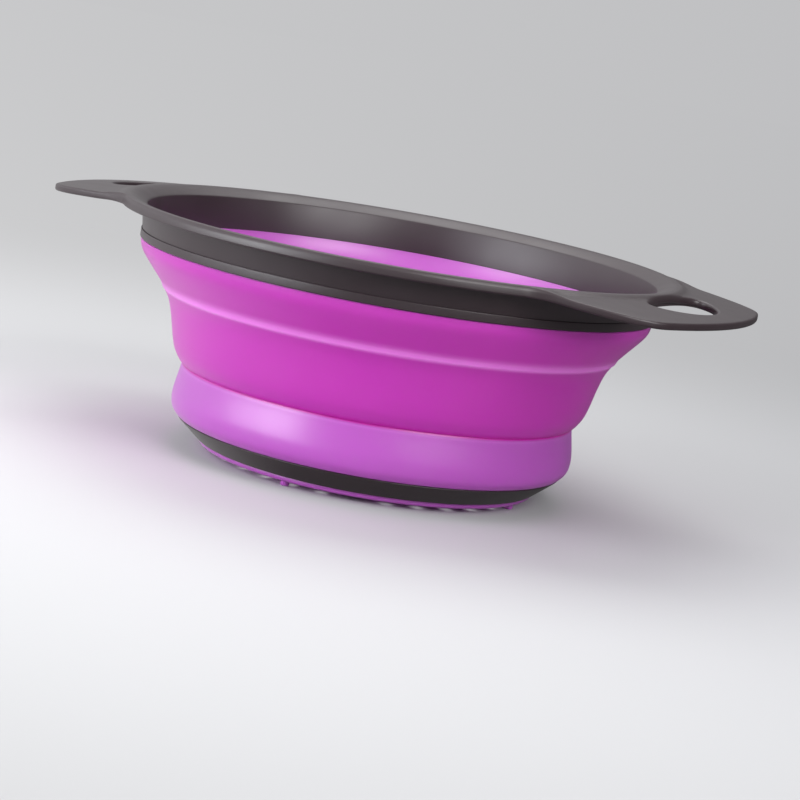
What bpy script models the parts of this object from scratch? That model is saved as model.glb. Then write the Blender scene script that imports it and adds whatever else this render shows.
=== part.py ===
"""Collapsible silicone colander: a rigid rim with two ear handles, a folding
silicone wall, a strainer floor on four small feet and a conical base ring.

Metres, +Z up. The origin is on the axis, on the plane that the feet stand on.
The ears lie along the X axis.
"""

import math

import bmesh
import bpy
from mathutils import Matrix, Vector

# Whole object: round parts, the gap between touching pieces, and cuts
RING_SEGMENTS = 60
FIT_GAP = 0.0003
CUT_OVERRUN = 0.004
SMOOTH_ANGLE = math.radians(30)

# Heights: each level stands on the one below it
FOOT_HEIGHT = 0.0022
FLOOR_LIP_HEIGHT = 0.0023
FLOOR_THICKNESS = 0.0026
BASE_RING_HEIGHT = 0.0083
BELLY_HEIGHT = 0.0223
FOLD_HEIGHT = 0.0307
FLARE_HEIGHT = 0.0194
BEAD_HEIGHT = 0.0036
BAND_HEIGHT = 0.0094
FLANGE_THICKNESS = 0.0042

BASE_RING_BOTTOM_Z = FOOT_HEIGHT + FLOOR_LIP_HEIGHT
BASE_RING_TOP_Z = BASE_RING_BOTTOM_Z + BASE_RING_HEIGHT
CREASE_Z = BASE_RING_TOP_Z + BELLY_HEIGHT
RIDGE_Z = CREASE_Z + FOLD_HEIGHT
BAND_BOTTOM_Z = RIDGE_Z + FLARE_HEIGHT
BEAD_TOP_Z = BAND_BOTTOM_Z + BEAD_HEIGHT
FLANGE_UNDERSIDE_Z = BEAD_TOP_Z + BAND_HEIGHT
FLANGE_TOP_Z = FLANGE_UNDERSIDE_Z + FLANGE_THICKNESS

# Radii of the outer surface: each follows from the one before it
BASE_RING_BOTTOM_RADIUS = 0.0740
BASE_RING_FLARE = 0.0097
BELLY_SWELL = 0.0030
CREASE_DEPTH = 0.0019
FOLD_SPREAD = 0.0128
FLARE_SPREAD = 0.0124
BAND_TAPER = 0.0012
FLANGE_OVERHANG = 0.0093

BASE_RING_TOP_RADIUS = BASE_RING_BOTTOM_RADIUS + BASE_RING_FLARE
BELLY_RADIUS = BASE_RING_TOP_RADIUS + BELLY_SWELL
CREASE_RADIUS = BELLY_RADIUS - CREASE_DEPTH
RIDGE_RADIUS = CREASE_RADIUS + FOLD_SPREAD
BAND_BOTTOM_RADIUS = RIDGE_RADIUS + FLARE_SPREAD
BAND_TOP_RADIUS = BAND_BOTTOM_RADIUS + BAND_TAPER
FLANGE_RADIUS = BAND_TOP_RADIUS + FLANGE_OVERHANG

# Walls
WALL_THICKNESS = 0.0022
FOLD_THICKNESS = 0.0018
TONGUE_THICKNESS = 0.0009
SKIRT_THICKNESS = 0.0029
SKIRT_LEG_THICKNESS = 0.0008
BAND_WALL_THICKNESS = 0.0019
BASE_RING_WALL = 0.0024

SKIRT_INNER_RADIUS = BAND_BOTTOM_RADIUS - SKIRT_THICKNESS
MOUTH_RADIUS = BAND_TOP_RADIUS - BAND_WALL_THICKNESS

# Rim frame: the slope down to the mouth, the flat crown and the rounded lip
MOUTH_DROP = 0.0029
MOUTH_EDGE_ROUND = 0.0007
CROWN_INSET = 0.0025
CROWN_FLAT_WIDTH = 0.0020
LIP_DROP = 0.0017
LIP_ROUND = 0.0006
BEAD_PROUD = 0.0004

CROWN_RADIUS = FLANGE_RADIUS - CROWN_INSET

# Ear handles: length past the flange, angles of the full part and of the root, droop
EAR_LENGTH = 0.0320
EAR_FULL_ANGLE = math.radians(20)
EAR_ROOT_ANGLE = math.radians(40)
EAR_DROOP_ANGLE = math.radians(6)
EAR_ROOT_DROP = 0.0011
EAR_ROOT_FILLET = 0.0020
EAR_THICKNESS = 0.0029
EAR_EDGE_ROUND = 0.0010
EAR_STEPS = 3
EAR_SECTION_SHARE = 1 / 3

EAR_REACH = FLANGE_RADIUS + EAR_LENGTH

# Finger slot in each ear: what it leaves of the root and of the grip bar, and its shape
SLOT_ROOT_GAP = 0.0003
GRIP_WIDTH = 0.0112
SLOT_HALF_LENGTH = 0.0268
SLOT_BEND = 0.0040
SLOT_POINTS = 28

SLOT_HALF_WIDTH = (EAR_LENGTH - SLOT_ROOT_GAP - GRIP_WIDTH) / 2
SLOT_CENTRE_X = FLANGE_RADIUS + SLOT_ROOT_GAP + SLOT_HALF_WIDTH

# Strainer floor and its holes, in rings round the middle one
FLOOR_LIP_INSET = 0.0012
FLOOR_LIP_ROUND = 0.0009
HOLE_RADIUS = 0.0025
HOLE_MARGIN = 0.0088
HOLE_RINGS = 5
HOLES_PER_RING_STEP = 6
HOLE_SIDES = 8

FLOOR_LIP_RADIUS = BASE_RING_BOTTOM_RADIUS - FLOOR_LIP_INSET
HOLE_PITCH = (FLOOR_LIP_RADIUS - HOLE_MARGIN) / HOLE_RINGS

# Feet
FOOT_RADIUS = 0.0019
FOOT_INSET = 0.0034
FOOT_COUNT = 4
FOOT_SIDES = 12
FOOT_EDGE_ROUND = 0.0004

FOOT_CIRCLE_RADIUS = FLOOR_LIP_RADIUS - FOOT_INSET

# Colours and finish
GREY_PLASTIC = (0.090, 0.083, 0.088, 1.0)
MAGENTA_SILICONE = (0.560, 0.040, 0.480, 1.0)
PLASTIC_ROUGHNESS = 0.42
SILICONE_ROUGHNESS = 0.38

# Outline shares, each (share of the radius step, share of the height step)
BELLY_CURVE_SHARES = (
    (0.00, 1.00), (-0.06, 0.86), (0.40, 0.70), (0.75, 0.52), (1.00, 0.38),
    (0.95, 0.24), (0.66, 0.13),
)
FOLD_CURVE_SHARES = (
    (0.00, 0.00), (0.16, 0.07), (0.32, 0.18), (0.42, 0.31), (0.49, 0.43),
    (0.58, 0.59), (0.68, 0.74), (0.85, 0.90), (0.94, 0.955),
)
FLARE_CURVE_SHARES = (
    (0.00, 0.00), (0.11, 0.12), (0.29, 0.26), (0.51, 0.42), (0.72, 0.58),
    (0.87, 0.71), (0.96, 0.84), (0.99, 0.985),
)
MOUTH_CURVE_SHARES = ((0.00, 0.00), (0.32, 0.42), (0.62, 0.75), (0.84, 0.95), (1.00, 1.00))
LIP_CURVE_SHARES = ((0.30, 0.10), (0.68, 0.36), (0.92, 0.68))


def clear_scene():
    for old in list(bpy.data.objects):
        bpy.data.objects.remove(old, do_unlink=True)


def finish(name, colour, roughness):
    material = bpy.data.materials.new(name)
    material.use_nodes = True
    shader = material.node_tree.nodes["Principled BSDF"]
    shader.inputs["Base Color"].default_value = colour
    shader.inputs["Roughness"].default_value = roughness
    material.diffuse_color = colour
    return material


def plastic(name):
    return finish(name + "_plastic", GREY_PLASTIC, PLASTIC_ROUGHNESS)


def silicone(name):
    return finish(name + "_silicone", MAGENTA_SILICONE, SILICONE_ROUGHNESS)


def add_object(name, shape, material=None, smooth=True):
    """Turns a bmesh into an object with smooth round faces and true edges."""
    bmesh.ops.recalc_face_normals(shape, faces=shape.faces)
    mesh = bpy.data.meshes.new(name)
    shape.to_mesh(mesh)
    shape.free()
    if material:
        mesh.materials.append(material)
    if smooth:
        mesh.shade_smooth()
        mesh.set_sharp_from_angle(angle=SMOOTH_ANGLE)
    made = bpy.data.objects.new(name, mesh)
    bpy.context.scene.collection.objects.link(made)
    return made


def loft(sections):
    """Closed skin through closed sections that follow each other in a ring."""
    shape = bmesh.new()
    rings = [[shape.verts.new(point) for point in section] for section in sections]
    for index, ring in enumerate(rings):
        following = rings[(index + 1) % len(rings)]
        for corner in range(len(ring)):
            beside = (corner + 1) % len(ring)
            shape.faces.new((ring[corner], ring[beside], following[beside], following[corner]))
    return shape


def around(outline, angle):
    return [Vector((r * math.cos(angle), r * math.sin(angle), z)) for r, z in outline]


def turned_ring(outline):
    step = 2 * math.pi / RING_SEGMENTS
    return loft([around(outline, step * index) for index in range(RING_SEGMENTS)])


def offset_inwards(outline, thickness):
    """The same line moved towards the axis and square to itself."""
    moved = []
    for index, (r, z) in enumerate(outline):
        before = outline[max(index - 1, 0)]
        after = outline[min(index + 1, len(outline) - 1)]
        run = Vector((after[0] - before[0], after[1] - before[1])).normalized()
        rise = math.copysign(run.x, run.x * run.y)
        moved.append((r - abs(run.y) * thickness, z + rise * thickness))
    return moved


def belly_line():
    """Outer line of the lowest section, from the crease down to the base ring."""
    top = CREASE_Z - FIT_GAP
    bottom = BASE_RING_TOP_Z + FIT_GAP
    swell = BELLY_RADIUS - CREASE_RADIUS
    line = []
    for out_share, up_share in BELLY_CURVE_SHARES:
        line.append((CREASE_RADIUS + swell * out_share, bottom + (top - bottom) * up_share))
    line.append((BASE_RING_TOP_RADIUS, bottom))
    return line


def fold_line():
    """Outer line of the folding section, from the crease up to the ridge."""
    return [
        (
            CREASE_RADIUS + (RIDGE_RADIUS - CREASE_RADIUS) * out_share,
            CREASE_Z + (RIDGE_Z - CREASE_Z) * up_share,
        )
        for out_share, up_share in FOLD_CURVE_SHARES
    ]


def flare_line():
    """Outer line of the top section, from just under the ridge up to the band."""
    fold_end = fold_line()[-1]
    line = [(fold_end[0] + FIT_GAP, fold_end[1] + FIT_GAP)]
    for out_share, up_share in FLARE_CURVE_SHARES:
        line.append((
            RIDGE_RADIUS + (BAND_BOTTOM_RADIUS - RIDGE_RADIUS) * out_share,
            RIDGE_Z + (BAND_BOTTOM_Z - RIDGE_Z) * up_share,
        ))
    return line


def make_folding_wall():
    outer = fold_line()
    inner = offset_inwards(outer, FOLD_THICKNESS)
    inner[0] = (inner[0][0], outer[0][1])
    inner[-1] = (inner[-1][0], outer[-1][1])
    shape = turned_ring(outer[::-1] + inner)
    return add_object("folding_wall", shape, silicone("folding_wall"))


def tongue_radii():
    inner = SKIRT_INNER_RADIUS + SKIRT_LEG_THICKNESS + FIT_GAP
    return inner, inner + TONGUE_THICKNESS


def make_upper_wall():
    outer = flare_line()
    inner = offset_inwards(outer, WALL_THICKNESS)
    inner[0] = (inner[0][0], outer[0][1])
    shoulder_z = outer[-1][1] - FIT_GAP
    tongue_inner, tongue_outer = tongue_radii()
    inner[-1] = (SKIRT_INNER_RADIUS, shoulder_z)
    tongue = [
        (tongue_inner, shoulder_z),
        (tongue_inner, BEAD_TOP_Z - FIT_GAP),
        (tongue_outer, BEAD_TOP_Z - FIT_GAP),
        (tongue_outer, outer[-1][1]),
    ]
    shape = turned_ring(outer[::-1] + inner + tongue)
    return add_object("upper_wall", shape, silicone("upper_wall"))


def base_ring_line():
    """Inner cone line of the base ring at its bottom and its top."""
    return (
        (BASE_RING_BOTTOM_RADIUS - BASE_RING_WALL, BASE_RING_BOTTOM_Z),
        (BASE_RING_TOP_RADIUS - BASE_RING_WALL, BASE_RING_TOP_Z),
    )


def make_lower_wall():
    outer = belly_line()
    (ring_bottom_r, ring_bottom_z), (ring_top_r, ring_top_z) = base_ring_line()
    seat_z = FOOT_HEIGHT + FLOOR_THICKNESS + FIT_GAP
    slope = (ring_top_r - ring_bottom_r) / (ring_top_z - ring_bottom_z)
    cone_clearance = FIT_GAP * (1 + slope)
    cone = [
        (ring_top_r - cone_clearance, ring_top_z + FIT_GAP),
        (ring_bottom_r - cone_clearance + slope * (seat_z - ring_bottom_z), seat_z),
    ]
    inner = offset_inwards(outer[:-2], WALL_THICKNESS)
    inner[0] = (inner[0][0], outer[0][1])
    foot = [
        (cone[1][0] - WALL_THICKNESS, seat_z),
        (cone[0][0] - WALL_THICKNESS, ring_top_z + WALL_THICKNESS),
    ]
    shape = turned_ring(outer + cone + foot + inner[::-1])
    return add_object("lower_wall", shape, silicone("lower_wall"))


def make_base_ring():
    (inner_bottom_r, bottom_z), (inner_top_r, top_z) = base_ring_line()
    outline = [
        (BASE_RING_TOP_RADIUS, top_z),
        (BASE_RING_BOTTOM_RADIUS, bottom_z),
        (inner_bottom_r, bottom_z),
        (inner_top_r, top_z),
    ]
    return add_object("base_ring", turned_ring(outline), plastic("base_ring"))


def make_retaining_ring():
    inner = tongue_radii()[1] + FIT_GAP
    outer = BAND_BOTTOM_RADIUS + BEAD_PROUD
    bottom = BAND_BOTTOM_Z
    top = BEAD_TOP_Z - FIT_GAP
    outline = [
        (outer, top),
        (outer, bottom + BEAD_PROUD),
        (outer - BEAD_PROUD, bottom),
        (inner, bottom),
        (inner, top),
    ]
    return add_object("retaining_ring", turned_ring(outline), plastic("retaining_ring"))


def add_stack(shape, outlines):
    """Adds a closed solid that joins plan outlines, each with its height, from the lowest up."""
    rings = []
    for points, z in outlines:
        rings.append([shape.verts.new((x, y, z)) for x, y in points])
    shape.faces.new(rings[0][::-1])
    shape.faces.new(rings[-1])
    for lower, upper in zip(rings, rings[1:]):
        for index in range(len(lower)):
            beside = (index + 1) % len(lower)
            shape.faces.new((lower[index], lower[beside], upper[beside], upper[index]))
    return shape


def circle(centre_x, centre_y, radius, sides):
    step = 2 * math.pi / sides
    return [
        (centre_x + radius * math.cos(step * k), centre_y + radius * math.sin(step * k))
        for k in range(sides)
    ]


def cutter(name, shape):
    made = add_object(name, shape, smooth=False)
    made.hide_render = True
    made.display_type = "WIRE"
    return made


def cut(piece, tool):
    modifier = piece.modifiers.new("cut_" + tool.name, "BOOLEAN")
    modifier.operation = "DIFFERENCE"
    modifier.solver = "EXACT"
    modifier.object = tool


def hole_places():
    places = [(0.0, 0.0)]
    for ring in range(1, HOLE_RINGS + 1):
        count = HOLES_PER_RING_STEP * ring
        radius = ring * HOLE_PITCH
        for k in range(count):
            angle = 2 * math.pi * (k + ring / 2) / count
            places.append((radius * math.cos(angle), radius * math.sin(angle)))
    return places


def make_strainer_floor():
    top = FOOT_HEIGHT + FLOOR_THICKNESS
    lip_top = BASE_RING_BOTTOM_Z - FIT_GAP
    plate = circle(0.0, 0.0, base_ring_line()[0][0] - FIT_GAP, RING_SEGMENTS)
    lip = circle(0.0, 0.0, FLOOR_LIP_RADIUS, RING_SEGMENTS)
    lip_bottom = circle(0.0, 0.0, FLOOR_LIP_RADIUS - FLOOR_LIP_ROUND, RING_SEGMENTS)
    outlines = [
        (lip_bottom, FOOT_HEIGHT),
        (lip, FOOT_HEIGHT + FLOOR_LIP_ROUND),
        (lip, lip_top),
        (plate, lip_top),
        (plate, top),
    ]
    shape = add_stack(bmesh.new(), outlines)
    floor = add_object("strainer_floor", shape, silicone("strainer_floor"))
    holes = bmesh.new()
    for x, y in hole_places():
        hole = circle(x, y, HOLE_RADIUS, HOLE_SIDES)
        add_stack(holes, [(hole, FOOT_HEIGHT - CUT_OVERRUN), (hole, top + CUT_OVERRUN)])
    cut(floor, cutter("strainer_holes", holes))
    return floor


def make_foot(index):
    angle = 2 * math.pi * index / FOOT_COUNT
    outlines = [
        (circle(0.0, 0.0, FOOT_RADIUS - FOOT_EDGE_ROUND, FOOT_SIDES), 0.0),
        (circle(0.0, 0.0, FOOT_RADIUS, FOOT_SIDES), FOOT_EDGE_ROUND),
        (circle(0.0, 0.0, FOOT_RADIUS, FOOT_SIDES), FOOT_HEIGHT - FIT_GAP),
    ]
    name = "foot_%d" % (index + 1)
    foot = add_object(name, add_stack(bmesh.new(), outlines), silicone(name))
    foot.location.x = FOOT_CIRCLE_RADIUS * math.cos(angle)
    foot.location.y = FOOT_CIRCLE_RADIUS * math.sin(angle)
    return foot


def smooth_step(value):
    held = min(1.0, max(0.0, value))
    return held * held * (3 - 2 * held)


def ear_share(angle):
    """0 on the plain rim and 1 on the full ear, for an angle from an ear's middle."""
    return smooth_step((EAR_ROOT_ANGLE - angle) / (EAR_ROOT_ANGLE - EAR_FULL_ANGLE))


def rim_angles():
    """Angles round the rim: even between the ears and EAR_STEPS times closer on them."""
    step = 2 * math.pi / RING_SEGMENTS
    angles = []
    for index in range(RING_SEGMENTS):
        middle = abs((index + 0.5) * step)
        from_ear = min(abs(middle - turn) for turn in (0.0, math.pi, 2 * math.pi))
        parts = EAR_STEPS if from_ear < EAR_ROOT_ANGLE else 1
        angles += [step * (index + part / parts) for part in range(parts)]
    return angles


def ear_top(radius):
    """Height of an ear's top face at a distance from the axis."""
    drop = max(0.0, radius - FLANGE_RADIUS) * math.tan(EAR_DROOP_ANGLE)
    return FLANGE_TOP_Z - EAR_ROOT_DROP - drop


def mixed(plain, ear, share):
    return plain + (ear - plain) * share


def mouth_slope():
    """From the mouth's edge up to the inner side of the crown."""
    start = MOUTH_RADIUS + MOUTH_EDGE_ROUND
    end = CROWN_RADIUS - CROWN_FLAT_WIDTH / 2
    bottom = FLANGE_TOP_Z - MOUTH_DROP
    return [
        (start + (end - start) * out_share, bottom + MOUTH_DROP * up_share)
        for out_share, up_share in MOUTH_CURVE_SHARES
    ]


def flange_edge(radius, share):
    """From the crown out to the outer edge and back underneath, as a lip or as an ear."""
    crown_end = CROWN_RADIUS + CROWN_FLAT_WIDTH / 2
    lip = [
        (
            crown_end + (FLANGE_RADIUS - crown_end) * out_share,
            FLANGE_TOP_Z - LIP_DROP * down_share,
        )
        for out_share, down_share in LIP_CURVE_SHARES
    ]
    root = FLANGE_RADIUS + EAR_ROOT_FILLET
    rim_top = ear_top(radius)
    ear = [
        (FLANGE_RADIUS, (FLANGE_TOP_Z + ear_top(root)) / 2),
        (root, ear_top(root)),
        (radius - EAR_EDGE_ROUND / 2, rim_top - EAR_EDGE_ROUND / 4),
    ]
    lip[-1] = (radius - FLANGE_RADIUS + lip[-1][0], lip[-1][1])
    points = [
        (mixed(plain[0], full[0], share), mixed(plain[1], full[1], share))
        for plain, full in zip(lip, ear)
    ]
    edge = mixed(FLANGE_TOP_Z - LIP_DROP, rim_top - EAR_EDGE_ROUND, share)
    bottom = mixed(FLANGE_UNDERSIDE_Z, rim_top - EAR_THICKNESS, share)
    root_bottom = mixed(FLANGE_UNDERSIDE_Z, ear_top(FLANGE_RADIUS) - EAR_THICKNESS, share)
    return [(crown_end, FLANGE_TOP_Z)] + points + [
        (radius, edge),
        (radius, bottom + LIP_ROUND),
        (radius - LIP_ROUND, bottom),
        (CROWN_RADIUS, root_bottom),
    ]


def rim_section(angle):
    """The rim's section at one angle: mouth, crown, outer edge, band and inner skirt."""
    reach = ear_share(math.acos(min(1.0, abs(math.cos(angle)))))
    radius = mixed(FLANGE_RADIUS, EAR_REACH, reach)
    leg_outer = SKIRT_INNER_RADIUS + SKIRT_LEG_THICKNESS
    return mouth_slope() + flange_edge(radius, smooth_step(reach / EAR_SECTION_SHARE)) + [
        (BAND_TOP_RADIUS + BEAD_PROUD, FLANGE_UNDERSIDE_Z),
        (BAND_TOP_RADIUS, FLANGE_UNDERSIDE_Z - BEAD_PROUD),
        (BAND_BOTTOM_RADIUS, BEAD_TOP_Z),
        (leg_outer, BEAD_TOP_Z),
        (leg_outer, BAND_BOTTOM_Z - FIT_GAP),
        (SKIRT_INNER_RADIUS, BAND_BOTTOM_Z - FIT_GAP),
        (MOUTH_RADIUS, FLANGE_TOP_Z - MOUTH_DROP - MOUTH_EDGE_ROUND),
    ]


def slot_outline():
    """Plan of a finger slot: a lens across the ear, its ends bent back round the rim."""
    points = []
    for k in range(SLOT_POINTS):
        angle = 2 * math.pi * k / SLOT_POINTS
        across = SLOT_HALF_WIDTH * math.cos(angle)
        along = math.sin(angle)
        points.append((SLOT_CENTRE_X + across - SLOT_BEND * along ** 2, SLOT_HALF_LENGTH * along))
    return points


def make_rim_frame():
    sections = [around(rim_section(angle), angle) for angle in rim_angles()]
    frame = add_object("rim_frame", loft(sections), plastic("rim_frame"))
    low = ear_top(EAR_REACH) - EAR_THICKNESS - CUT_OVERRUN
    high = FLANGE_TOP_Z + CUT_OVERRUN
    for side, turn in (("right", 0.0), ("left", math.pi)):
        shape = add_stack(bmesh.new(), [(slot_outline(), low), (slot_outline(), high)])
        bmesh.ops.transform(shape, matrix=Matrix.Rotation(turn, 4, "Z"), verts=shape.verts)
        cut(frame, cutter("slot_" + side, shape))
    return frame


def main():
    clear_scene()
    base = [make_base_ring(), make_strainer_floor(), make_lower_wall(), make_folding_wall()]
    base += [make_foot(index) for index in range(FOOT_COUNT)]
    rim = [make_rim_frame(), make_retaining_ring(), make_upper_wall()]
    for name, pieces in (("base", base), ("rim", rim)):
        group = bpy.data.objects.new(name + "_group", None)
        bpy.context.scene.collection.objects.link(group)
        for piece in pieces:
            piece.parent = group


main()
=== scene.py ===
"""Looks of the collapsible silicone colander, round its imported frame.

Metres, +Z up. The frame's origin is on the bowl's axis, on the plane that the
feet stand on, and the two ear handles lie along X.
"""

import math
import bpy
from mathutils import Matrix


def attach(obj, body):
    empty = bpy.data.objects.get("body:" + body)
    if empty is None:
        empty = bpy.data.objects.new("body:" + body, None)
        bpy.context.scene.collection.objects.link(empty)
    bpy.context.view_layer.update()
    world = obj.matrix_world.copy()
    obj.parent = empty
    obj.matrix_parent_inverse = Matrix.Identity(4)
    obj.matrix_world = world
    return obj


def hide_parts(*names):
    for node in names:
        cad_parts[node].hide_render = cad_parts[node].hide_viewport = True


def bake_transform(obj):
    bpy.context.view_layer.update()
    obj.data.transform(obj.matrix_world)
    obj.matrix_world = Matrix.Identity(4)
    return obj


bl_info = {
    "name": "Collapsible Colander",
    "version": (1, 0, 0),
    "blender": (4, 5, 0),
    "location": "3D View > Sidebar > Colander",
    "description": "Builds a collapsible silicone colander round its packed frame",
    "category": "Object",
}

import bmesh
import bpy
from mathutils import Matrix, Quaternion, Vector

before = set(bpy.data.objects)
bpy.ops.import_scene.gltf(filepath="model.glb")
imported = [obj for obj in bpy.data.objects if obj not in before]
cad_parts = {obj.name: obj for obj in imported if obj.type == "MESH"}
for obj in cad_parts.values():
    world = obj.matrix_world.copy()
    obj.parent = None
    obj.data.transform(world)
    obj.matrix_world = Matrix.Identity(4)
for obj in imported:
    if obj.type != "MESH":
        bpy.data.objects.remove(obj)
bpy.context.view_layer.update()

# Outer line of the silicone bowl, as (radius, height) in millimetres
LIP_LINE = ((69.0, 2.2), (71.4, 2.2), (72.2, 2.45), (72.7, 3.0), (72.8, 3.6), (72.75, 4.25))
SEAT_LINE = ((71.4, 4.3), (72.2, 5.3), (76.0, 8.6), (80.8, 12.75), (81.4, 13.1))
BELLY_LINE = (
    (83.55, 13.1), (84.6, 14.0), (86.05, 16.0), (86.62, 18.3), (86.70, 21.4),
    (86.28, 24.6), (85.62, 28.3), (85.05, 31.4), (84.75, 33.4), (84.55, 34.4),
)
CREASE_LINE = ((84.30, 34.85),)
FOLD_LINE = (
    (84.90, 35.15), (85.75, 35.85), (86.95, 37.25), (88.90, 40.6), (90.20, 44.6),
    (91.10, 48.4), (92.22, 53.2), (93.50, 57.8), (94.60, 60.8), (95.70, 62.9),
    (96.62, 64.35), (97.25, 65.2),
)
RIDGE_LINE = ((97.90, 65.80), (98.22, 66.5), (98.60, 67.3))
FLARE_LINE = (
    (99.05, 68.1), (101.20, 70.8), (103.90, 74.0), (106.50, 77.1),
    (108.42, 79.7), (109.50, 82.1), (109.85, 84.9),
)


# Painted light along the wall's fold lines: height, reach below, reach above (mm), strength; a strength
# above 0 paints a highlight, on the ridge and in a thin line under the crease, and below 0 paints shade in
# the crease
FOLD_PAINTED_LIGHT = ((65.9, 1.6, 4.5, 0.6), (34.85, 0.9, 2.4, -1.0), (33.4, 0.8, 0.8, 0.12))


class ColanderSizes(bpy.types.PropertyGroup):
    """Sizes of the colander that a user would change."""

    wall: bpy.props.FloatProperty(
        name="Wall", description="Thickness of the silicone wall",
        default=0.0021, min=0.0012, max=0.003, unit="LENGTH",
    )
    floor_top: bpy.props.FloatProperty(
        name="Floor top", description="Height of the strainer floor's upper face",
        default=0.0048, min=0.004, max=0.006, unit="LENGTH",
    )
    foot_height: bpy.props.FloatProperty(
        name="Foot height", description="Height of the feet under the strainer floor",
        default=0.0022, min=0.001, max=0.003, unit="LENGTH",
    )
    foot_radius: bpy.props.FloatProperty(
        name="Foot radius", description="Radius of one foot",
        default=0.0019, min=0.001, max=0.003, unit="LENGTH",
    )
    foot_circle: bpy.props.FloatProperty(
        name="Foot circle", description="Distance of the feet from the bowl's axis",
        default=0.0694, min=0.06, max=0.071, unit="LENGTH",
    )
    hole_radius: bpy.props.FloatProperty(
        name="Hole radius", description="Radius of one strainer hole",
        default=0.0025, min=0.001, max=0.004, unit="LENGTH",
    )
    hole_pitch: bpy.props.FloatProperty(
        name="Hole pitch", description="Distance from one ring of holes to the next",
        default=0.0128, min=0.008, max=0.02, unit="LENGTH",
    )
    hole_rings: bpy.props.IntProperty(
        name="Hole rings", description="Rings of holes round the middle hole",
        default=5, min=1, max=6,
    )
    hole_round: bpy.props.FloatProperty(
        name="Hole rounding", description="Rounding of a hole's edges",
        default=0.0005, min=0.0001, max=0.001, unit="LENGTH",
    )
    mouth_radius: bpy.props.FloatProperty(
        name="Mouth radius", description="Radius of the rim's mouth at its edge",
        default=0.1093, min=0.1, max=0.112, unit="LENGTH",
    )
    mouth_drop: bpy.props.FloatProperty(
        name="Mouth drop", description="How far the rim's top falls to the mouth's edge",
        default=0.0029, min=0.001, max=0.004, unit="LENGTH",
    )
    flange_radius: bpy.props.FloatProperty(
        name="Flange radius", description="Outer radius of the rim's flange",
        default=0.1205, min=0.115, max=0.125, unit="LENGTH",
    )
    flange_top: bpy.props.FloatProperty(
        name="Flange top", description="Height of the rim's crown",
        default=0.1024, min=0.1, max=0.1024, unit="LENGTH",
    )
    ear_reach: bpy.props.FloatProperty(
        name="Ear reach", description="Distance of an ear's front edge from the axis",
        default=0.1525, min=0.13, max=0.1525, unit="LENGTH",
    )
    ear_droop: bpy.props.FloatProperty(
        name="Ear droop", description="Angle by which an ear falls outwards",
        default=math.radians(6.0), min=0.0, max=math.radians(10), unit="ROTATION",
    )
    ear_drop: bpy.props.FloatProperty(
        name="Ear drop", description="Step down from the flange's top to an ear",
        default=0.0011, min=0.0, max=0.003, unit="LENGTH",
    )
    ear_thickness: bpy.props.FloatProperty(
        name="Ear thickness", description="Thickness of an ear",
        default=0.0029, min=0.002, max=0.004, unit="LENGTH",
    )
    slot_centre: bpy.props.FloatProperty(
        name="Slot centre", description="Distance of a finger slot from the axis",
        default=0.13105, min=0.12, max=0.14, unit="LENGTH",
    )
    slot_half_width: bpy.props.FloatProperty(
        name="Slot half width", description="Half of a finger slot's width",
        default=0.01025, min=0.005, max=0.015, unit="LENGTH",
    )
    slot_half_length: bpy.props.FloatProperty(
        name="Slot half length", description="Half of a finger slot's length",
        default=0.0268, min=0.01, max=0.035, unit="LENGTH",
    )
    slot_bend: bpy.props.FloatProperty(
        name="Slot bend", description="How far a slot's ends bend back round the rim",
        default=0.0040, min=0.0, max=0.01, unit="LENGTH",
    )
    slot_round: bpy.props.FloatProperty(
        name="Slot rounding", description="Rounding of a slot's upper edge",
        default=0.0014, min=0.0003, max=0.002, unit="LENGTH",
    )


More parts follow.
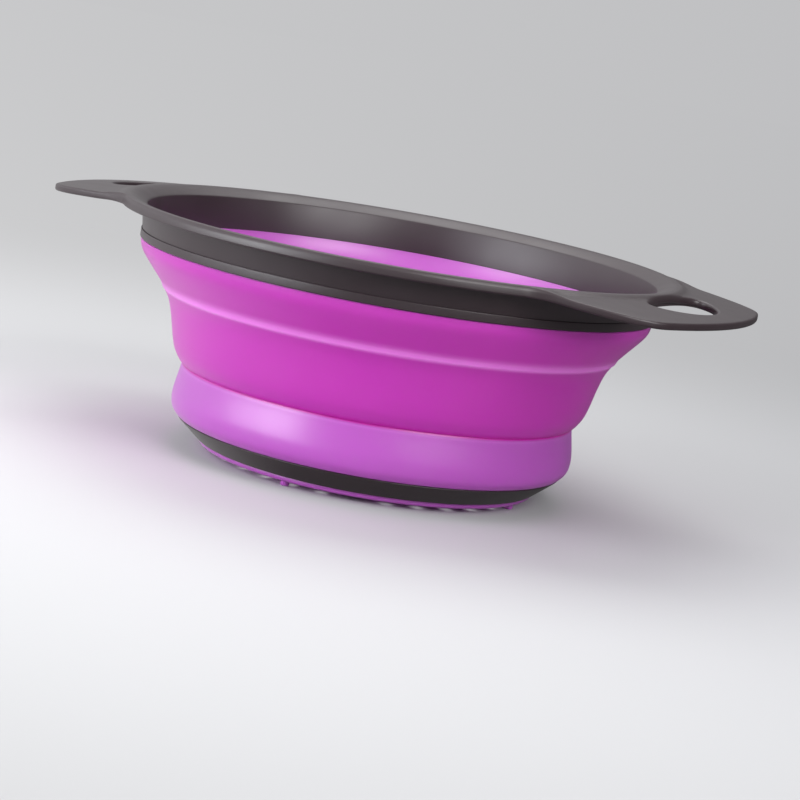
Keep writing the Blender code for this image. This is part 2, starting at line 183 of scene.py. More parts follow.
class ColanderColours(bpy.types.PropertyGroup):
    """Colours of the colander and its stage."""

    silicone: bpy.props.FloatVectorProperty(
        name="Silicone", description="Colour of the silicone bowl",
        default=(0.450, 0.021, 0.392), min=0.0, max=1.0, size=3, subtype="COLOR",
    )
    silicone_warm: bpy.props.FloatVectorProperty(
        name="Warm silicone", description="Second shade of the silicone bowl",
        default=(0.470, 0.029, 0.392), min=0.0, max=1.0, size=3, subtype="COLOR",
    )
    # Painted sheen: this paler, cooler shade on the belly stands in for the whitish reflection there; the
    # modelled wall keeps one thickness
    silicone_painted_belly_sheen: bpy.props.FloatVectorProperty(
        name="Milky silicone", description="Cooler shade of the thicker wall round the belly",
        default=(0.415, 0.082, 0.448), min=0.0, max=1.0, size=3, subtype="COLOR",
    )
    # Painted light: the bowl's inner face and its upward faces are painted lighter, for the light that they
    # catch
    silicone_inside_painted_light: bpy.props.FloatVectorProperty(
        name="Inner silicone", description="Milky shade of the bowl's inner face",
        default=(0.535, 0.125, 0.545), min=0.0, max=1.0, size=3, subtype="COLOR",
    )
    # Painted highlight along the ridge and in a thin line under the crease; the modelled wall is no thinner
    # there
    silicone_painted_highlight: bpy.props.FloatVectorProperty(
        name="Light silicone", description="Shade where the wall is thin along its ridge",
        default=(0.820, 0.290, 0.800), min=0.0, max=1.0, size=3, subtype="COLOR",
    )
    # Painted shade down in the wall's crease
    silicone_painted_crease_shade: bpy.props.FloatVectorProperty(
        name="Deep silicone", description="Shade down in the wall's crease",
        default=(0.480, 0.002, 0.330), min=0.0, max=1.0, size=3, subtype="COLOR",
    )
    plastic: bpy.props.FloatVectorProperty(
        name="Plastic", description="Colour of the rim and the base ring",
        default=(0.024, 0.012, 0.016), min=0.0, max=1.0, size=3, subtype="COLOR",
    )
    plastic_light: bpy.props.FloatVectorProperty(
        name="Light plastic", description="Lighter shade of the plastic",
        default=(0.031, 0.018, 0.023), min=0.0, max=1.0, size=3, subtype="COLOR",
    )
    # Painted light: the floor and backdrop take these two colours, lighter to the near left and darker to
    # the far right; for the room they colour its light
    light_ground: bpy.props.FloatVectorProperty(
        name="Light ground", description="Colour of the floor and room to the near left",
        default=(0.740, 0.740, 0.746), min=0.0, max=1.0, size=3, subtype="COLOR",
    )
    dark_ground: bpy.props.FloatVectorProperty(
        name="Dark ground", description="Colour of the floor and room to the far right",
        default=(0.480, 0.482, 0.495), min=0.0, max=1.0, size=3, subtype="COLOR",
    )


# Selecting, joining and cutting


def pick(*objects):
    """Selects these objects alone and makes the first one active."""
    bpy.ops.object.select_all(action="DESELECT")
    for piece in objects:
        piece.select_set(True)
    if objects:
        bpy.context.view_layer.objects.active = objects[0]


def apply_modifier(piece, modifier):
    pick(piece)
    bpy.ops.object.modifier_apply(modifier=modifier.name)


def combine(piece, tool, operation):
    """Cuts a tool out of a piece, or joins it on, and removes the tool."""
    modifier = piece.modifiers.new(operation.lower(), "BOOLEAN")
    modifier.operation = operation
    modifier.solver = "EXACT"
    modifier.object = tool
    apply_modifier(piece, modifier)
    bpy.data.objects.remove(tool, do_unlink=True)
    if not piece.data.polygons:
        raise RuntimeError("no faces are left of " + piece.name)


def face_outwards(piece):
    """Merges the doubles of a closed piece and turns its faces outwards."""
    pick(piece)
    bpy.ops.object.mode_set(mode="EDIT")
    bpy.ops.mesh.select_all(action="SELECT")
    bpy.ops.mesh.remove_doubles(threshold=0.000001)
    bpy.ops.mesh.normals_make_consistent(inside=False)
    bpy.ops.object.mode_set(mode="OBJECT")


def smooth(piece, angle):
    pick(piece)
    bpy.ops.object.shade_smooth_by_angle(angle=math.radians(angle))


# Lines


def eased(value):
    held = min(1.0, max(0.0, value))
    return held * held * (3 - 2 * held)


def curved(points, parts):
    """A smooth line through points, with this many parts between two of them."""
    places = [Vector(point) / 1000 for point in points]
    first = places[0] * 2 - places[1]
    last = places[-1] * 2 - places[-2]
    guides = [first] + places + [last]
    line = []
    for index in range(1, len(guides) - 2):
        a, b, c, d = guides[index - 1:index + 3]
        for part in range(parts):
            t = part / parts
            line.append(0.5 * (
                2 * b + (c - a) * t + (2 * a - 5 * b + 4 * c - d) * t * t
                + (3 * b - a - 3 * c + d) * t * t * t
            ))
    line.append(places[-1])
    return line


def bend(start, control, end, steps):
    """A soft bend from start to end, drawn towards a control point."""
    a, b, c = Vector(start), Vector(control), Vector(end)
    return [
        a * (1 - t) ** 2 + b * 2 * t * (1 - t) + c * t * t
        for t in (step / steps for step in range(steps + 1))
    ]


def filleted(corners, steps):
    """A closed outline through corners (radius, height, rounding), in metres."""
    line = []
    for index, (r, z, rounding) in enumerate(corners):
        here = Vector((r, z))
        before = Vector(corners[index - 1][:2]) - here
        after = Vector(corners[(index + 1) % len(corners)][:2]) - here
        half = before.angle(after) / 2
        reach = min(rounding / math.tan(half), before.length * 0.48, after.length * 0.48)
        start = here + before.normalized() * reach
        end = here + after.normalized() * reach
        for step in range(steps + 1):
            t = step / steps
            line.append(start * (1 - t) ** 2 + here * 2 * t * (1 - t) + end * t * t)
    return line


def inset_line(line, thickness):
    """The same line moved square to itself, to its left as it climbs."""
    moved = []
    for index, point in enumerate(line):
        run = (line[min(index + 1, len(line) - 1)] - line[max(index - 1, 0)]).normalized()
        moved.append(point + Vector((-run.y, run.x)) * thickness)
    return moved


# Turned and extruded shapes


def turned(name, outline, steps):
    """A closed outline in the XZ plane, begun as a circle and spun round the axis."""
    pick()
    bpy.ops.mesh.primitive_circle_add(vertices=len(outline), radius=0.01, fill_type="NOTHING")
    piece = bpy.context.object
    piece.name = piece.data.name = name
    piece.data.transform(piece.matrix_world)
    piece.matrix_world = Matrix.Identity(4)
    order = piece.data.attributes.new("outline_step", "INT", "POINT")
    for index, (r, z) in enumerate(outline):
        piece.data.vertices[index].co = (r, 0, z)
        order.data[index].value = index
    bpy.ops.object.mode_set(mode="EDIT")
    bpy.ops.mesh.select_all(action="SELECT")
    bpy.ops.mesh.spin(steps=steps, angle=2 * math.pi, center=(0, 0, 0), axis=(0, 0, 1))
    bpy.ops.object.mode_set(mode="OBJECT")
    face_outwards(piece)
    return piece


def plug(name, sides, layers):
    """A disc extruded up through layers of (half width, half length, height)."""
    width, length, height = layers[0]
    pick()
    bpy.ops.mesh.primitive_circle_add(vertices=sides, radius=1, fill_type="NGON")
    piece = bpy.context.object
    piece.name = piece.data.name = name
    piece.data.transform(Matrix.LocRotScale(Vector((0, 0, height)), None, Vector((width, length, 1))))
    bpy.ops.object.mode_set(mode="EDIT")
    bpy.ops.mesh.select_all(action="SELECT")
    for before, after in zip(layers, layers[1:]):
        bpy.ops.mesh.extrude_region_move(
            TRANSFORM_OT_translate={"value": (0, 0, after[2] - before[2])}
        )
        bpy.ops.transform.resize(
            value=(after[0] / before[0], after[1] / before[1], 1),
            center_override=(0, 0, after[2]),
        )
    bpy.ops.object.mode_set(mode="OBJECT")
    face_outwards(piece)
    return piece


def flared_layers(width, length, low, high, low_round, high_round, overrun):
    """Layers of a plug whose ends flare, so that the hole it cuts has rounded edges."""
    layers = [(width + low_round, length + low_round, low - overrun)]
    for step in range(5):
        angle = math.pi / 2 * step / 4
        out = low_round * (1 - math.sin(angle))
        up = low_round * (1 - math.cos(angle))
        layers.append((width + out, length + out, low + up))
    for step in range(5):
        angle = math.pi / 2 * (1 - step / 4)
        out = high_round * (1 - math.sin(angle))
        down = high_round * (1 - math.cos(angle))
        layers.append((width + out, length + out, high - down))
    layers.append((width + high_round, length + high_round, high + overrun))
    return layers


# The silicone bowl


def bowl_outline(sizes):
    """Closed outline of the bowl's wall, from under the floor out, up and back inside."""
    outer = curved(LIP_LINE, 4)
    outer += curved(SEAT_LINE, 2)
    upper = curved(BELLY_LINE, 3) + curved(
        CREASE_LINE + FOLD_LINE + RIDGE_LINE + FLARE_LINE, 4,
    )
    outer += upper
    shoulder = upper[-1].y
    inner = [place for place in inset_line(upper, sizes.wall) if place.y < 0.0765]
    inner += bend(inner[-1], (0.1063, 0.0805), (0.1071, shoulder), 8)[1:]
    tongue = [
        Vector((0.10910, shoulder)), Vector((0.10910, 0.0885)),
        Vector((0.10820, 0.0885)), Vector((0.10820, shoulder)),
    ]
    floor = [
        Vector((0.0792, 0.0133)), Vector((0.0760, 0.0106)), Vector((0.0722, 0.0072)),
        Vector((0.0708, 0.0060)), Vector((0.0700, 0.0052)), Vector((0.0690, sizes.floor_top)),
    ]
    return outer + tongue + inner[::-1] + floor


def close_floor(bowl, radius):
    """Takes out the wall at the floor's edge and closes both faces of the floor."""
    pick(bowl)
    mesh = bmesh.new()
    mesh.from_mesh(bowl.data)
    for face in mesh.faces:
        face.select_set(all(vert.co.xy.length < radius for vert in face.verts))
    mesh.to_mesh(bowl.data)
    mesh.free()
    bpy.context.tool_settings.mesh_select_mode = (False, False, True)
    bpy.ops.object.mode_set(mode="EDIT")
    bpy.ops.mesh.delete(type="FACE")
    for side in (-1, 1):
        bpy.context.tool_settings.mesh_select_mode = (False, True, False)
        bpy.ops.mesh.select_all(action="DESELECT")
        mesh = bmesh.from_edit_mesh(bowl.data)
        for edge in mesh.edges:
            height = (edge.verts[0].co.z - 0.0035) * side
            edge.select_set(edge.is_boundary and height > 0)
        bmesh.update_edit_mesh(bowl.data)
        bpy.ops.mesh.edge_face_add()
    bpy.ops.object.mode_set(mode="OBJECT")
    face_outwards(bowl)


def mark_wall(bowl):
    """Keeps on each point its fold line's painted light (a highlight above 0, shade below), the belly,
    where a painted sheen goes, and the inner face's painted light.
    """
    marks = {"fold_painted_light": [], "inside_painted_light": [], "belly": []}
    for vertex in bowl.data.vertices:
        z = vertex.co.z * 1000
        tone = 0.0
        for height, below, above, strength in FOLD_PAINTED_LIGHT:
            away = (z - height) / (above if z > height else below)
            tone += strength * eased(1 - abs(away))
        outwards = vertex.co.xy.normalized().dot(vertex.normal.xy)
        marks["fold_painted_light"].append(tone)
        # Painted light on faces that turn towards the axis or face upwards
        marks["inside_painted_light"].append(eased(-8 * outwards) if vertex.normal.z < 0.7 else 1.0)
        # The belly up to 34.7 mm, which gets a painted sheen
        marks["belly"].append(eased(34.7 - z))
    for name, values in marks.items():
        mark = bowl.data.attributes.new(name, "FLOAT", "POINT")
        mark.data.foreach_set("value", values)


def hole_places(sizes):
    places = [(0.0, 0.0)]
    for ring in range(1, sizes.hole_rings + 1):
        for index in range(6 * ring):
            angle = 2 * math.pi * (index + ring / 2) / (6 * ring)
            away = ring * sizes.hole_pitch
            places.append((away * math.cos(angle), away * math.sin(angle)))
    return places


def copies_of(piece, places):
    """One object that holds a copy of the piece at each place."""
    made = []
    for x, y in places:
        twin = bpy.data.objects.new(piece.name, piece.data.copy())
        bpy.context.scene.collection.objects.link(twin)
        twin.data.transform(Matrix.Translation((x, y, 0)))
        made.append(twin)
    bpy.data.objects.remove(piece, do_unlink=True)
    pick(*made)
    bpy.ops.object.join()
    return bpy.context.object


class COLANDER_OT_silicone_bowl(bpy.types.Operator):
    """Silicone bowl: floor with holes, feet, belly, fold and flare in one"""

    bl_idname = "colander.silicone_bowl"
    bl_label = "Silicone Bowl"

    def execute(self, context):
        sizes = context.scene.colander_sizes
        bowl = turned("silicone_bowl", bowl_outline(sizes), 240)
        close_floor(bowl, 0.0692)
        foot = plug("foot", 24, [
            (sizes.foot_radius * share, sizes.foot_radius * share, height)
            for share, height in (
                (0.55, 0.0), (0.80, 0.00012), (0.94, 0.0004), (1.0, 0.0008),
                (1.0, sizes.foot_height + 0.0006),
            )
        ])
        turn = math.pi / 2
        feet = copies_of(foot, [
            (sizes.foot_circle * math.cos(turn * k), sizes.foot_circle * math.sin(turn * k))
            for k in range(4)
        ])
        combine(bowl, feet, "UNION")
        layers = flared_layers(
            sizes.hole_radius, sizes.hole_radius, sizes.foot_height, sizes.floor_top,
            sizes.hole_round, sizes.hole_round, 0.002,
        )
        holes = copies_of(plug("hole", 24, layers), hole_places(sizes))
        combine(bowl, holes, "DIFFERENCE")
        face_outwards(bowl)
        mark_wall(bowl)
        smooth(bowl, 28)
        for face in bowl.data.polygons:
            if face.center.xy.length < 0.069 and abs(face.normal.z) > 0.9999:
                face.use_smooth = False
        bowl.data.materials.clear()
        bowl.data.materials.append(silicone_finish(context.scene.colander_colours))
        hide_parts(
            "lower_wall", "folding_wall", "upper_wall", "strainer_floor",
            "foot_1", "foot_2", "foot_3", "foot_4",
        )
        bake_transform(bowl)
        return {"FINISHED"}


# The rim frame with its ears


def ear_share(angle):
    """0 on the plain rim and 1 on the full ear, for an angle from an ear's middle."""
    return eased((math.radians(40) - angle) / math.radians(20))


def ear_top(sizes, radius):
    """Height of an ear's top at a distance from the axis, with the foot of the crown."""
    fall = max(0.0, radius - sizes.flange_radius) * math.tan(sizes.ear_droop)
    return sizes.flange_top - sizes.ear_drop * eased((radius - 0.1188) / 0.0034) - fall


# Edge of the plain rim, as (distance in from its outer radius, drop) in millimetres:
# a rounded crown, a sloping face, a tight corner, a nearly upright side and its underside
LIP_EDGE = [
    tuple(place) for place in
    bend((1.9, 0.0), (1.3, 0.0), (0.95, 0.38), 5)
    + bend((0.52, 1.15), (0.36, 1.42), (0.31, 1.72), 4)
    + bend((0.04, 3.5), (0.0, 4.15), (0.6, 4.2), 4)
]


def lip_edge(sizes):
    """Edge of the plain rim, from its crown down to its underside."""
    radius = sizes.flange_radius
    top = sizes.flange_top
    return [Vector((radius - inwards / 1000, top - down / 1000)) for inwards, down in LIP_EDGE]


def ear_edge(sizes, radius):
    """Edge of an ear at its outer radius, from its top down to its underside."""
    top = ear_top(sizes, radius)
    low = top - sizes.ear_thickness
    inner = radius - 0.0013
    upper = bend((inner, ear_top(sizes, inner)), (radius, top), (radius, top - 0.0011), 10)
    return upper + bend((radius, low + 0.0010), (radius, low), (radius - 0.0010, low), 4)


def rim_outline(sizes, angle):
    """The rim's outline at one angle, with the same steps at every angle."""
    reach = ear_share(math.acos(min(1.0, abs(math.cos(angle)))))
    share = eased(3 * reach)
    radius = sizes.flange_radius + (sizes.ear_reach - sizes.flange_radius) * reach
    out = Vector((radius - sizes.flange_radius, 0))
    top = sizes.flange_top
    edge = [
        (plain + out).lerp(ear, share)
        for plain, ear in zip(lip_edge(sizes), ear_edge(sizes, radius))
    ]
    crown = 0.1180
    face = []
    for step in range(14):
        r = crown + (edge[0].x - crown) * (step / 14) ** 2
        face.append(Vector((r, top + (ear_top(sizes, r) - top) * share)))
    mouth = top - sizes.mouth_drop
    slope = bend((sizes.mouth_radius + 0.0008, mouth), (crown - 0.0028, top), (crown - 0.0006, top), 10)
    mouth_edge = bend(
        (sizes.mouth_radius, mouth - 0.0008),
        (sizes.mouth_radius + 0.0001, mouth - 0.0004),
        (sizes.mouth_radius + 0.0008, mouth), 5,
    )
    under = top - 0.0042
    skirt = filleted((
        (0.1111, under - 0.0015, 0.0),
        (0.1100, 0.0888, 0.00005),
        (0.1079, 0.0888, 0.0001),
        (0.1079, 0.0849, 0.0002),
        (0.1071, 0.0849, 0.0002),
        (sizes.mouth_radius, mouth - 0.0008, 0.0),
    ), 4)[5:-5]
    band = bend((0.1128, under), (0.1113, under), (0.1111, under - 0.0015), 5)
    return mouth_edge[:-1] + slope + face + edge + band + skirt


def slot_plug(sizes):
    """Flared lens-shaped plug that lies in the plane of the right ear."""
    layers = flared_layers(
        sizes.slot_half_width, sizes.slot_half_length, -sizes.ear_thickness, 0.0,
        0.0008, sizes.slot_round, 0.006,
    )
    piece = plug("slot", 72, layers)
    for vertex in piece.data.vertices:
        x, y, z = vertex.co
        along = y / sizes.slot_half_length
        placed = x + sizes.slot_centre - sizes.slot_bend * along * along
        vertex.co = (placed, y, z + ear_top(sizes, math.hypot(placed, y)))
    return piece


class COLANDER_OT_rim_frame(bpy.types.Operator):
    """Rim frame: flange, skirt and the two ear handles with their finger slots"""

    bl_idname = "colander.rim_frame"
    bl_label = "Rim Frame"

    def execute(self, context):
        sizes = context.scene.colander_sizes
        rim = turned("rim_shell", rim_outline(sizes, math.pi / 2), 480)
        order = rim.data.attributes["outline_step"]
        outlines = {}
        for vertex in rim.data.vertices:
            step = round(math.atan2(vertex.co.y, vertex.co.x) / (2 * math.pi) * 480)
            angle = 2 * math.pi * step / 480
            if step not in outlines:
                outlines[step] = rim_outline(sizes, angle)
            r, z = outlines[step][order.data[vertex.index].value]
            vertex.co = (r * math.cos(angle), r * math.sin(angle), z)
        face_outwards(rim)
        for turn in (0.0, math.pi):
            cut = slot_plug(sizes)
            cut.data.transform(Matrix.Rotation(turn, 4, "Z"))
            combine(rim, cut, "DIFFERENCE")
        smooth(rim, 32)
        rim.data.materials.clear()
        rim.data.materials.append(plastic_finish(context.scene.colander_colours))
        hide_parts("rim_frame")
        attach(rim, "rim")
        return {"FINISHED"}


# The two plain rings


class COLANDER_OT_retaining_ring(bpy.types.Operator):
    """Retaining ring under the rim's skirt, which holds the bowl's upper edge"""

    bl_idname = "colander.retaining_ring"
    bl_label = "Retaining Ring"

    def execute(self, context):
        outline = filleted((
            (0.1094, 0.0852, 0.0001),
            (0.1104, 0.0852, 0.0005),
            (0.1104, 0.08878, 0.0003),
            (0.1094, 0.08878, 0.0001),
        ), 5)
        ring = turned("retaining_bead", outline, 240)
        smooth(ring, 40)
        ring.data.materials.clear()
        ring.data.materials.append(plastic_finish(context.scene.colander_colours))
        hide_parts("retaining_ring")
        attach(ring, "rim")
        return {"FINISHED"}


class COLANDER_OT_base_ring(bpy.types.Operator):
    """Conical ring round the bottom of the bowl"""

    bl_idname = "colander.base_ring"
    bl_label = "Base Ring"

    def execute(self, context):
        outline = filleted((
            (0.0740, 0.0045, 0.0006),
            (0.0837, 0.0128, 0.0004),
            (0.0813, 0.0128, 0.0003),
            (0.0716, 0.0045, 0.0003),
        ), 5)
        ring = turned("base_cone", outline, 240)
        smooth(ring, 40)
        ring.data.materials.clear()
        ring.data.materials.append(plastic_finish(context.scene.colander_colours))
        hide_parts("base_ring")
        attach(ring, "base")
        return {"FINISHED"}


# Finishes


def new_finish(name):
    material = bpy.data.materials.new(name)
    material.use_nodes = True
    nodes = material.node_tree.nodes
    return material, nodes, material.node_tree.links, nodes["Principled BSDF"]


def grain(nodes, links, scale, detail, stretch=(1, 1, 1)):
    """Noise on object coordinates, as (factor output)."""
    place = nodes.new("ShaderNodeTexCoord")
    spread = nodes.new("ShaderNodeMapping")
    spread.inputs["Scale"].default_value = stretch
    noise = nodes.new("ShaderNodeTexNoise")
    noise.inputs["Scale"].default_value = scale
    noise.inputs["Detail"].default_value = detail
    links.new(place.outputs["Object"], spread.inputs["Vector"])
    links.new(spread.outputs["Vector"], noise.inputs["Vector"])
    return noise.outputs["Fac"]


def between(nodes, links, factor, low, high):
    """A factor spread to the span from low to high."""
    span = nodes.new("ShaderNodeMapRange")
    span.inputs["From Min"].default_value = 0.3
    span.inputs["From Max"].default_value = 0.7
    span.inputs["To Min"].default_value = low
    span.inputs["To Max"].default_value = high
    links.new(factor, span.inputs["Value"])
    return span.outputs["Result"]


def two_shades(nodes, links, factor, first, second):
    blend = nodes.new("ShaderNodeMix")
    blend.data_type = "RGBA"
    for name, shade in (("A", first), ("B", second)):
        if isinstance(shade, bpy.types.NodeSocket):
            links.new(shade, blend.inputs[name])
        else:
            blend.inputs[name].default_value = (*shade, 1)
    links.new(factor, blend.inputs["Factor"])
    return blend.outputs["Result"]


def marked(nodes, links, name, sign):
    """How far a mark that the points keep lies on one side of 0."""
    tone = nodes.new("ShaderNodeAttribute")
    tone.attribute_name = name
    share = nodes.new("ShaderNodeMath")
    share.operation = "MULTIPLY"
    share.use_clamp = True
    share.inputs[1].default_value = sign
    links.new(tone.outputs["Fac"], share.inputs[0])
    return share.outputs["Value"]


def raise_grain(nodes, links, shader, factor, strength, distance):
    bump = nodes.new("ShaderNodeBump")
    bump.inputs["Strength"].default_value = strength
    bump.inputs["Distance"].default_value = distance
    links.new(factor, bump.inputs["Height"])
    links.new(bump.outputs["Normal"], shader.inputs["Normal"])


def silicone_finish(colours):
    """Soft magenta silicone: satin, slightly translucent, with a very fine grain, and with painted
    highlights, painted shade, painted sheen and painted light in its colour.
    """
    material, nodes, links, shader = new_finish("magenta_silicone")
    cloud = grain(nodes, links, 24, 2)
    fine = grain(nodes, links, 1600, 2)
    even = two_shades(nodes, links, cloud, colours.silicone, colours.silicone_warm)
    # Painted sheen on the belly
    wall = two_shades(nodes, links, marked(nodes, links, "belly", 1), even, colours.silicone_painted_belly_sheen)
    # Painted light on the inner face and the upward faces
    faces = two_shades(nodes, links, marked(nodes, links, "inside_painted_light", 1), wall, colours.silicone_inside_painted_light)
    # Painted highlight on the ridge and in a thin line under the crease
    with_painted_highlight = two_shades(nodes, links, marked(nodes, links, "fold_painted_light", 1), faces, colours.silicone_painted_highlight)
    # Painted shade in the crease
    colour = two_shades(nodes, links, marked(nodes, links, "fold_painted_light", -1), with_painted_highlight, colours.silicone_painted_crease_shade)
    links.new(colour, shader.inputs["Base Color"])
    links.new(between(nodes, links, cloud, 0.32, 0.38), shader.inputs["Roughness"])
    shader.inputs["IOR"].default_value = 1.5
    shader.inputs["Specular IOR Level"].default_value = 0.75
    shader.inputs["Subsurface Weight"].default_value = 0.5
    shader.inputs["Subsurface Radius"].default_value = (1.0, 0.35, 0.9)
    shader.inputs["Subsurface Scale"].default_value = 0.006
    raise_grain(nodes, links, shader, fine, 0.10, 0.00008)
    return material


def plastic_finish(colours):
    """Dark warm grey moulded plastic with a fine satin grain."""
    made = bpy.data.materials.get("grey_plastic_satin")
    if made:
        return made
    material, nodes, links, shader = new_finish("grey_plastic_satin")
    cloud = grain(nodes, links, 40, 3)
    fine = grain(nodes, links, 2200, 2)
    colour = two_shades(nodes, links, cloud, colours.plastic, colours.plastic_light)
    links.new(colour, shader.inputs["Base Color"])
    links.new(between(nodes, links, cloud, 0.38, 0.46), shader.inputs["Roughness"])
    shader.inputs["IOR"].default_value = 1.5
    shader.inputs["Specular IOR Level"].default_value = 0.75
    raise_grain(nodes, links, shader, fine, 0.12, 0.00006)
    return material


# Stage


# The side from which the room is brightest, as a direction of length 1
BRIGHT_SIDE = (-0.87, -0.05, 0.49)
# Strength of the room's light away from that side and on it
ROOM_LEVELS = (0.30, 1.45)
# The side on which the floor and the room are palest, as a direction of length 1; on the floor and backdrop
# this paleness is painted light
PALE_SIDE = (-0.80, -0.60, 0.0)


def add_softbox(name, place, aim, width, height, power, tint=(1, 1, 1)):
    pick()
    bpy.ops.object.light_add(type="AREA", location=place)
    lamp = bpy.context.object
    lamp.name = name
    lamp.rotation_mode = "QUATERNION"
    lamp.rotation_quaternion = (Vector(aim) - Vector(place)).to_track_quat("-Z", "Y")
    lamp.data.shape = "RECTANGLE"
    lamp.data.size = width
    lamp.data.size_y = height
    lamp.data.energy = power
    lamp.data.color = tint
    lamp.visible_camera = False


def rays(nodes, links, *names):
    """1 for the rays of these kinds."""
    path = nodes.new("ShaderNodeLightPath")
    seen = path.outputs[names[0]]
    for name in names[1:]:
        either = nodes.new("ShaderNodeMath")
        either.operation = "MAXIMUM"
        links.new(seen, either.inputs[0])
        links.new(path.outputs[name], either.inputs[1])
        seen = either.outputs["Value"]
    return seen


def along(nodes, links, direction, side):
    """How far a direction points to a side."""
    reach = nodes.new("ShaderNodeVectorMath")
    reach.operation = "DOT_PRODUCT"
    reach.inputs[1].default_value = side
    links.new(direction, reach.inputs[0])
    return reach.outputs["Value"]


def room_level(nodes, links, direction):
    """How bright the room is in a direction: lightest to the left, darkest to the right."""
    level = nodes.new("ShaderNodeMapRange")
    level.inputs["To Min"].default_value = ROOM_LEVELS[0]
    level.inputs["To Max"].default_value = ROOM_LEVELS[1]
    links.new(along(nodes, links, direction, BRIGHT_SIDE), level.inputs["Value"])
    return level.outputs["Result"]


def plain_for_camera(nodes, links, level):
    """Full strength for camera and transmitted rays, and the room's level for others."""
    strength = nodes.new("ShaderNodeMix")
    strength.inputs["B"].default_value = 1.0
    links.new(level, strength.inputs["A"])
    links.new(rays(nodes, links, "Is Camera Ray", "Is Transmission Ray"), strength.inputs["Factor"])
    return strength.outputs["Result"]


def pale_shade(nodes, links, colours, share):
    """Colour of the floor or the room, for how far a direction points to the pale side; on the floor and
    backdrop it is painted light.
    """
    span = nodes.new("ShaderNodeMapRange")
    span.inputs["From Min"].default_value = -0.6
    links.new(share, span.inputs["Value"])
    return two_shades(nodes, links, span.outputs["Result"], colours.dark_ground, colours.light_ground)


def ground_finish(colours):
    """Pale floor that takes the colander's shadow and fades into the background, with painted light
    lightening its colour to the near left.
    """
    material, nodes, links, shader = new_finish("pale_ground")
    shader.inputs["Roughness"].default_value = 0.8
    place = nodes.new("ShaderNodeTexCoord").outputs["Object"]
    away = nodes.new("ShaderNodeVectorMath")
    away.operation = "LENGTH"
    links.new(place, away.inputs[0])
    beyond = nodes.new("ShaderNodeMath")
    beyond.inputs[1].default_value = 0.15
    links.new(away.outputs["Value"], beyond.inputs[0])
    share = nodes.new("ShaderNodeMath")
    share.operation = "DIVIDE"
    links.new(along(nodes, links, place, PALE_SIDE), share.inputs[0])
    links.new(beyond.outputs["Value"], share.inputs[1])
    # Painted light: the floor's colour turns lighter to the near left
    shade = pale_shade(nodes, links, colours, share.outputs["Value"])
    links.new(shade, shader.inputs["Base Color"])
    fade = nodes.new("ShaderNodeMapRange")
    fade.interpolation_type = "SMOOTHSTEP"
    fade.inputs["From Min"].default_value = 0.16
    fade.inputs["From Max"].default_value = 0.75
    links.new(away.outputs["Value"], fade.inputs["Value"])
    both = nodes.new("ShaderNodeMath")
    both.operation = "MULTIPLY"
    links.new(fade.outputs["Result"], both.inputs[0])
    links.new(rays(nodes, links, "Is Camera Ray", "Is Transmission Ray"), both.inputs[1])
    mirrored = nodes.new("ShaderNodeMath")
    mirrored.operation = "MAXIMUM"
    links.new(both.outputs["Value"], mirrored.inputs[0])
    links.new(rays(nodes, links, "Is Glossy Ray"), mirrored.inputs[1])
    direction = nodes.new("ShaderNodeVectorMath")
    direction.operation = "NORMALIZE"
    links.new(place, direction.inputs[0])
    level = room_level(nodes, links, direction.outputs["Vector"])
    glow = nodes.new("ShaderNodeEmission")
    links.new(shade, glow.inputs["Color"])
    links.new(plain_for_camera(nodes, links, level), glow.inputs["Strength"])
    blend = nodes.new("ShaderNodeMixShader")
    links.new(mirrored.outputs["Value"], blend.inputs["Fac"])
    links.new(shader.outputs["BSDF"], blend.inputs[1])
    links.new(glow.outputs["Emission"], blend.inputs[2])
    links.new(blend.outputs["Shader"], nodes["Material Output"].inputs["Surface"])
    return material


def light_world(colours):
    """Pale room, lightest to the left, and a background at full strength for the camera, whose colour is
    painted lighter to the near left.
    """
    world = bpy.data.worlds.new("pale_room")
    bpy.context.scene.world = world
    world.use_nodes = True
    nodes = world.node_tree.nodes
    links = world.node_tree.links
    direction = nodes.new("ShaderNodeTexCoord").outputs["Generated"]
    level = room_level(nodes, links, direction)
    room = nodes["Background"]
    # Background colour painted lighter to the near left, and the room light's own colour
    shade = pale_shade(nodes, links, colours, along(nodes, links, direction, PALE_SIDE))
    links.new(shade, room.inputs["Color"])
    links.new(plain_for_camera(nodes, links, level), room.inputs["Strength"])


def add_camera():
    """The photograph's camera: 9.3 degrees above the level, rolled 9.95 degrees."""
    pick()
    bpy.ops.object.camera_add(location=(0.4741, -0.9583, 0.2082))
    camera = bpy.context.object
    camera.name = "photo_camera"
    aim = Vector((-0.4292, 0.8886, -0.1620))
    camera.rotation_mode = "QUATERNION"
    camera.rotation_quaternion = aim.to_track_quat("-Z", "Y") @ Quaternion((0, 0, 1), math.radians(9.955))
    camera.data.sensor_width = 36
    camera.data.lens = 113.6
    bpy.context.scene.camera = camera


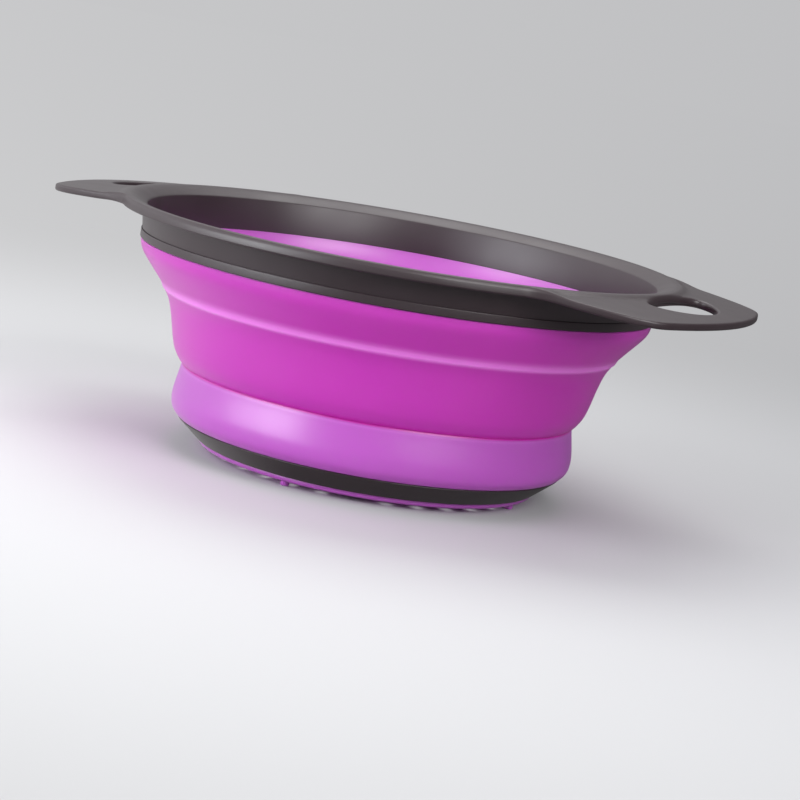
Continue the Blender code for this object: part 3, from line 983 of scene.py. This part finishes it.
class COLANDER_OT_stage(bpy.types.Operator):
    """Pale floor, soft studio light and the photograph's camera"""

    bl_idname = "colander.stage"
    bl_label = "Stage"

    def execute(self, context):
        colours = context.scene.colander_colours
        pick()
        bpy.ops.mesh.primitive_circle_add(vertices=96, radius=6, fill_type="NGON")
        ground = context.object
        ground.name = "ground"
        ground.data.materials.append(ground_finish(colours))
        centre = (0, 0, 0.05)
        cool = (0.93, 0.96, 1.0)
        add_softbox("key_softbox", (-0.54, -1.05, 0.56), centre, 0.60, 0.90, 7.0, cool)
        add_softbox("low_softbox", (-0.66, -0.98, 0.22), centre, 1.1, 0.20, 5.0, cool)
        add_softbox("side_softbox", (-1.25, -0.20, 0.50), centre, 0.9, 0.8, 1, cool)
        add_softbox("front_softbox", (0.95, -0.50, 0.75), centre, 0.8, 0.8, 12)
        add_softbox("top_softbox", (-0.25, 0.45, 1.20), centre, 1.0, 1.0, 8)
        light_world(colours)
        add_camera()
        context.scene.view_settings.view_transform = "Standard"
        return {"FINISHED"}


class COLANDER_PT_panel(bpy.types.Panel):
    """Lists the colander's pieces and sizes"""

    bl_idname = "COLANDER_PT_panel"
    bl_label = "Colander"
    bl_space_type = "VIEW_3D"
    bl_region_type = "UI"
    bl_category = "Colander"

    def draw(self, context):
        layout = self.layout
        for maker in MAKERS:
            layout.operator(maker.bl_idname)
        for group in (context.scene.colander_sizes, context.scene.colander_colours):
            for name in group.bl_rna.properties.keys():
                if name not in ("name", "rna_type"):
                    layout.prop(group, name)


MAKERS = (
    COLANDER_OT_silicone_bowl,
    COLANDER_OT_rim_frame,
    COLANDER_OT_retaining_ring,
    COLANDER_OT_base_ring,
    COLANDER_OT_stage,
)
CLASSES = (ColanderSizes, ColanderColours) + MAKERS + (COLANDER_PT_panel,)


def register():
    for cls in CLASSES:
        bpy.utils.register_class(cls)
    bpy.types.Scene.colander_sizes = bpy.props.PointerProperty(type=ColanderSizes)
    bpy.types.Scene.colander_colours = bpy.props.PointerProperty(type=ColanderColours)


def unregister():
    del bpy.types.Scene.colander_colours
    del bpy.types.Scene.colander_sizes
    for cls in reversed(CLASSES):
        bpy.utils.unregister_class(cls)


def main():
    register()
    bpy.ops.colander.silicone_bowl()
    bpy.ops.colander.rim_frame()
    bpy.ops.colander.retaining_ring()
    bpy.ops.colander.base_ring()
    bpy.ops.colander.stage()


if __name__ == "__main__":
    main()
